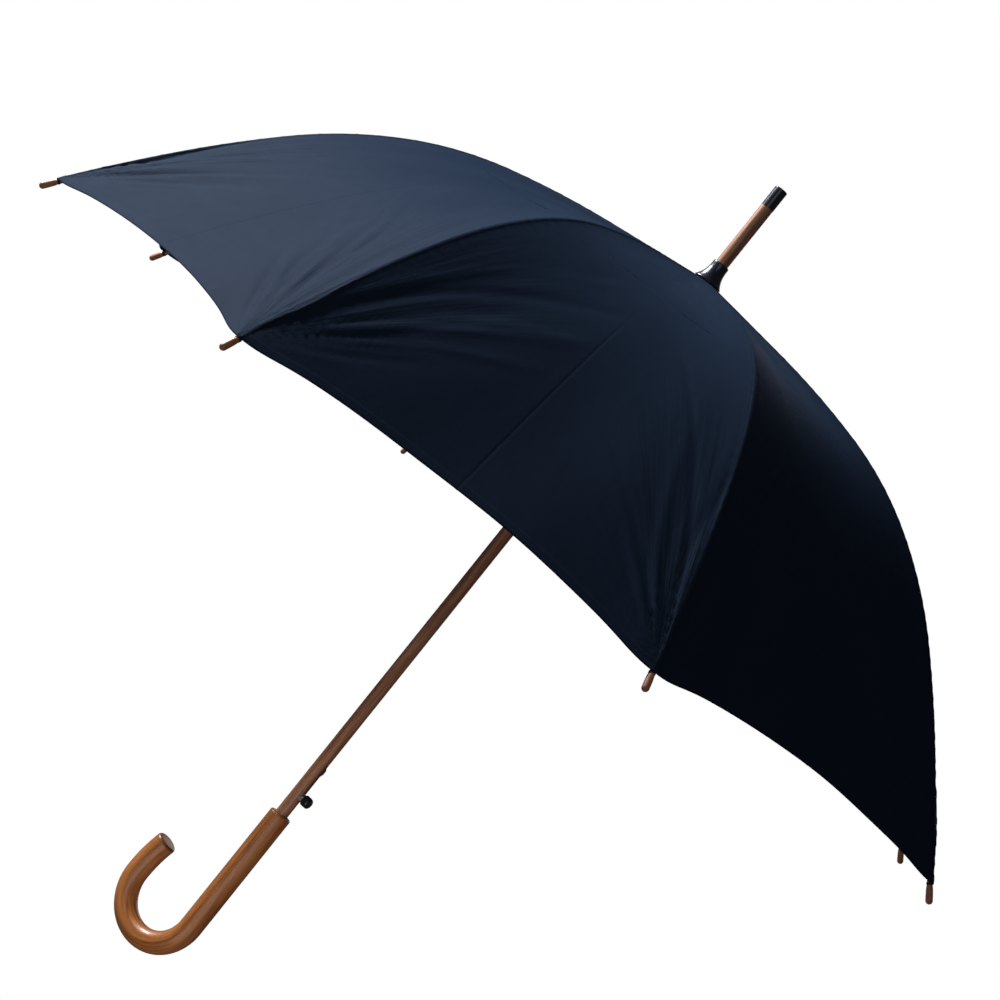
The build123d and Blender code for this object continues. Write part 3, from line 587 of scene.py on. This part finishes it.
def handle_path(d):
    """Point and direction on the handle's centre line, a distance d below its top."""
    if d <= GRIP_LENGTH:
        return np.array([0, 0, HANDLE_TOP_Z - d]), np.array([0, 0, -1.0])
    if d <= GRIP_LENGTH + CROOK_LENGTH:
        a = (d - GRIP_LENGTH) / CROOK_RADIUS
        centre = np.array([-CROOK_RADIUS, 0, GRIP_FOOT_Z])
        return centre + CROOK_RADIUS * np.array([cos(a), 0, -sin(a)]), np.array([-sin(a), 0, -cos(a)])
    a = (d - GRIP_LENGTH - CROOK_LENGTH) / HOOK_RADIUS
    centre = np.array([HOOK_RADIUS - 2 * CROOK_RADIUS, 0, GRIP_FOOT_Z])
    return centre - HOOK_RADIUS * np.array([cos(a), 0, -sin(a)]), np.array([sin(a), 0, cos(a)])


def handle_stations():
    """Distance along the centre line and radius: up the bore, over the rim and down to the hook's end."""
    top, foot = HANDLE_RADII
    floor = HANDLE_TOP_Z - BORE_FLOOR_Z
    stations = [(floor, 0.0), (floor, BORE_RADIUS), (0.0, BORE_RADIUS)]
    for a in np.linspace(0, pi / 2, 5):
        stations.append((HANDLE_ROUNDING * (1 - cos(a)), top - HANDLE_ROUNDING * (1 - sin(a))))
    for d in np.linspace(HANDLE_ROUNDING, HANDLE_LENGTH - HOOK_ROUNDING, 150)[1:]:
        stations.append((d, top + (foot - top) * min(d / GRIP_LENGTH, 1)))
    for a in np.linspace(0, pi / 2, 7)[1:]:
        stations.append((HANDLE_LENGTH - HOOK_ROUNDING * (1 - sin(a)), foot - HOOK_ROUNDING * (1 - cos(a))))
    stations.append((HANDLE_LENGTH, 0.0))
    return stations


def add_handle():
    turn = np.linspace(0, 2 * pi, ROUND_STEPS + 1)
    across = np.array([0, 1.0, 0])
    points, uvs, walked = [], [], 0.0
    stations = handle_stations()
    previous = stations[0]
    for d, radius in stations:
        centre, ahead = handle_path(min(d, HANDLE_LENGTH))
        out = np.cross(across, ahead)
        points.append(centre + radius * (np.cos(turn)[:, None] * out + np.sin(turn)[:, None] * across))
        walked += hypot(d - previous[0], radius - previous[1])
        uvs.append(np.stack([turn / (2 * pi) * GRAIN_ROUND, np.full_like(turn, walked)], -1))
        previous = (d, radius)
    piece = grid_mesh("handle_grip_and_crook", np.array(points), np.array(uvs), HANDLE_WOOD)
    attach(piece, "stick")
    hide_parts("handle")


# ---- opening spring, which shortens as the umbrella closes; the coil here is built at its open length ---
SPRING_Z = (0.47628, 0.55893)  # of the wire's centre line, at the coil's two ends
SPRING_RADIUS = 0.0077
SPRING_WIRE = 0.00055
SPRING_TURNS = 11


def add_spring():
    low, high = SPRING_Z
    a = np.linspace(0, 2 * pi * SPRING_TURNS, 48 * SPRING_TURNS + 1)[:, None]
    b = np.linspace(0, 2 * pi, 13)[None, :]
    radius = SPRING_RADIUS + SPRING_WIRE * np.cos(b)
    z = low + (high - low) * a / a[-1] + SPRING_WIRE * np.sin(b)
    points = np.stack([radius * np.cos(a), radius * np.sin(a), z], -1)
    uvs = np.stack([SPRING_WIRE * b + 0 * a, SPRING_RADIUS * a + 0 * b], -1)
    piece = grid_mesh("opening_spring_coil", points, uvs, SPRING_STEEL)
    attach(piece, "stretcher_hub")
    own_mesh(piece)
    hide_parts("opening_spring")


# ---- crown cap, wooden tips and the thread that ties each corner --------------------------------------
CROWN_CAP_Z = (0.6795, 0.700)
CROWN_CAP_BORE = 0.0063
CROWN_CAP_FOOT_RADII = (0.0138, 0.0140)  # of its underside and of the flare's widest place
CROWN_CAP_NECK_RADII = (0.0081, 0.0079, 0.0075)  # where the flare ends, below the bevel and at the top
CROWN_CAP_LIP = 0.0003  # the underside falls this far outwards
CROWN_CAP_BEVEL = 0.0004
FLARE_INSET = (0.0001, 0.0011)  # from the cap's foot and from its top
FLARE_POWER = 2.6
LATHE_STEPS = 96
TIP_END = (0.511744, 0.376163)  # radius and height
TIP_RADIUS = 0.0030
TIP_LENGTH = 0.024
TIP_TAPER = ((0.0060, 0.0), (0.0110, 0.0001), (0.0142, 0.0003))  # back from its end, and how much thinner
TIP_NECK_RADIUS = 0.0024
TIP_NECK_BACK = 0.0150  # from the tip's end to its neck
TIP_BEVEL = 0.0002
THREAD_BACK = 0.0178  # from the tip's end to the coil's start
THREAD_COIL = 0.00258  # radius of the coil
THREAD_WIRE = 0.00022  # radius of the thread
THREAD_TURNS = 5


def lathe(name, profile, material):
    """Surface of revolution about Z through (radius, height) points."""
    turn = np.linspace(0, 2 * pi, LATHE_STEPS + 1)
    profile = np.array(profile)
    points = np.stack([
        profile[:, 0, None] * np.cos(turn),
        profile[:, 0, None] * np.sin(turn),
        profile[:, 1, None] + 0 * turn,
    ], -1)
    uvs = np.stack([turn + 0 * profile[:, 0, None], profile[:, 1, None] + 0 * turn], -1)
    return grid_mesh(name, points, uvs, material)


def add_crown_cap():
    foot, top = CROWN_CAP_Z
    under, widest = CROWN_CAP_FOOT_RADII
    flare_end, bevel, rim = CROWN_CAP_NECK_RADII
    low, high = foot + FLARE_INSET[0], top - FLARE_INSET[1]
    profile = [(CROWN_CAP_BORE, foot), (under, foot - CROWN_CAP_LIP)]
    for x in np.linspace(0, 1, 22):
        radius = flare_end + (widest - flare_end) * (1 - x) ** FLARE_POWER
        profile.append((radius, low + (high - low) * x))
    profile += [(bevel, top - CROWN_CAP_BEVEL), (rim, top), (CROWN_CAP_BORE, top)]
    piece = lathe("crown_collar", profile, BLACK_PLASTIC)
    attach(piece, "stick")
    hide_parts("crown_cap")


def tip_frame(arm):
    """The end of a rib's wooden tip, the way it points, and the ways square to the cloth and along it."""
    azimuth = arm * ARM_STEP
    tilt = RIB_DROOPS[-1]
    outward = out_from(azimuth)
    ahead = cos(tilt) * outward - sin(tilt) * UPWARD
    up = sin(tilt) * outward + cos(tilt) * UPWARD
    end = TIP_END[0] * outward + TIP_END[1] * UPWARD
    return end, ahead, up, np.cross(up, ahead)


def tip_profile():
    """Distance back from the tip's end and radius of a turned tip with a short neck."""
    profile = []
    for a in np.linspace(0, pi / 2, 9):
        profile.append((TIP_RADIUS * (1 - cos(a)), TIP_RADIUS * sin(a)))
    for back, thinner in TIP_TAPER:
        profile.append((back, TIP_RADIUS - thinner))
    profile += [(TIP_NECK_BACK, TIP_NECK_RADIUS), (TIP_LENGTH - TIP_BEVEL, TIP_NECK_RADIUS)]
    profile.append((TIP_LENGTH, TIP_NECK_RADIUS - TIP_BEVEL))
    return profile


def add_tip(arm):
    turn = np.linspace(0, 2 * pi, 49)
    end, ahead, up, side = tip_frame(arm)
    radial = np.cos(turn)[:, None] * up + np.sin(turn)[:, None] * side
    rings, uvs = [], []
    for back, radius in tip_profile():
        rings.append(end - back * ahead + radius * radial)
        uvs.append(np.stack([turn * TIP_RADIUS, np.full_like(turn, back + 0.1 * arm)], -1))
    piece = grid_mesh(f"wooden_tip_{arm}", np.array(rings), np.array(uvs), TIP_WOOD)
    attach(piece, f"rib_end_{arm}")
    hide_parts(f"rib_tip_{arm}")


def add_corner_thread(arm):
    """The thread that ties the canopy's corner to its tip, a close coil round the tip's neck."""
    a = np.linspace(0, 2 * pi * THREAD_TURNS, 32 * THREAD_TURNS + 1)[:, None]
    b = np.linspace(0, 2 * pi, 9)[None, :]
    end, ahead, up, side = tip_frame(arm)
    out = np.cos(a) * up + np.sin(a) * side
    line = end - THREAD_BACK * ahead + THREAD_COIL * out + THREAD_WIRE * a / pi * ahead
    section = np.cos(b)[..., None] * out[:, None] + np.sin(b)[..., None] * ahead
    uvs = np.stack([b + 0 * a, a + 0 * b], -1)
    piece = grid_mesh(f"corner_thread_{arm}", line[:, None] + THREAD_WIRE * section, uvs, THREAD)
    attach(piece, f"rib_end_{arm}")


def add_tips():
    for arm in range(ARMS):
        add_tip(arm)
        add_corner_thread(arm)


# ---- stage and light -----------------------------------------------------------------------------
FLOOR_DROP = 0.02  # below the lowest point of the CAD
FLOOR_HALF = 20.0
WORLD_LIGHT = 0.07


def plain_white(name, strength):
    """Even white from above, and clear from below, so that the umbrella can be seen from underneath."""
    material = bpy.data.materials.new(name)
    material.use_nodes = True
    nodes = material.node_tree.nodes
    nodes.clear()
    emission = nodes.new("ShaderNodeEmission")
    emission.inputs["Strength"].default_value = strength
    output = nodes.new("ShaderNodeOutputMaterial")
    choice = nodes.new("ShaderNodeMixShader")
    links = material.node_tree.links
    links.new(nodes.new("ShaderNodeNewGeometry").outputs["Backfacing"], choice.inputs[0])
    links.new(emission.outputs[0], choice.inputs[1])
    links.new(nodes.new("ShaderNodeBsdfTransparent").outputs[0], choice.inputs[2])
    links.new(choice.outputs[0], output.inputs["Surface"])
    return material


def add_floor():
    z = CAD_BOX[0][2] - FLOOR_DROP
    low, high = -FLOOR_HALF, FLOOR_HALF
    corners = [(low, low, z), (high, low, z), (high, high, z), (low, high, z)]
    data = bpy.data.meshes.new("floor")
    data.from_pydata(corners, [], [(0, 1, 2, 3)])
    data.materials.append(plain_white("floor_white", 1.0))
    floor = bpy.data.objects.new("floor", data)
    floor.visible_diffuse = False
    floor.visible_glossy = False
    floor.visible_shadow = False
    bpy.context.scene.collection.objects.link(floor)


def add_world():
    """White to look at, and a soft grey to light with."""
    world = bpy.data.worlds.new("studio")
    world.use_nodes = True
    bpy.context.scene.world = world
    nodes, links = world.node_tree.nodes, world.node_tree.links
    shown = nodes["Background"]
    shown.inputs["Color"].default_value = (1, 1, 1, 1)
    light = nodes.new("ShaderNodeBackground")
    light.inputs["Color"].default_value = (0.86, 0.92, 1.0, 1)
    light.inputs["Strength"].default_value = WORLD_LIGHT
    path = nodes.new("ShaderNodeLightPath")
    mix = nodes.new("ShaderNodeMixShader")
    links.new(path.outputs["Is Camera Ray"], mix.inputs[0])
    links.new(light.outputs[0], mix.inputs[1])
    links.new(shown.outputs[0], mix.inputs[2])
    links.new(mix.outputs[0], nodes["World Output"].inputs["Surface"])


def add_light(name, azimuth, elevation, distance, size, watts, colour, aim=(0, 0, 0.45)):
    """Soft area light that shines on the aim from a direction given in degrees."""
    a, e = radians(azimuth), radians(elevation)
    back = Vector((cos(a) * cos(e), sin(a) * cos(e), sin(e)))
    side = Vector((0, 0, 1)).cross(back).normalized()
    data = bpy.data.lights.new(name, "AREA")
    data.size = size
    data.energy = watts
    data.color = colour
    lamp = bpy.data.objects.new(name, data)
    lamp.matrix_world = placed(side, back.cross(side), back, Vector(aim) + distance * back)
    bpy.context.scene.collection.objects.link(lamp)


finish_nodes()
add_canopy()
add_handle()
add_crown_cap()
add_tips()
add_spring()
add_floor()
add_world()
add_light("key", -168, 32, 2.6, 1.1, 185, (0.92, 0.97, 1.0))
add_light("fill", -70, 10, 3.2, 1.6, 9, (1.0, 0.93, 0.84))
add_light("back", 98, 10, 3.0, 1.6, 12, (0.95, 0.97, 1.0))
add_light("handle fill", -60, -14, 0.5, 0.45, 1.1, (1.0, 0.97, 0.93), aim=(-0.04, 0, -0.06))

scene = bpy.context.scene
scene.view_settings.view_transform = "Standard"
scene.view_settings.look = "None"
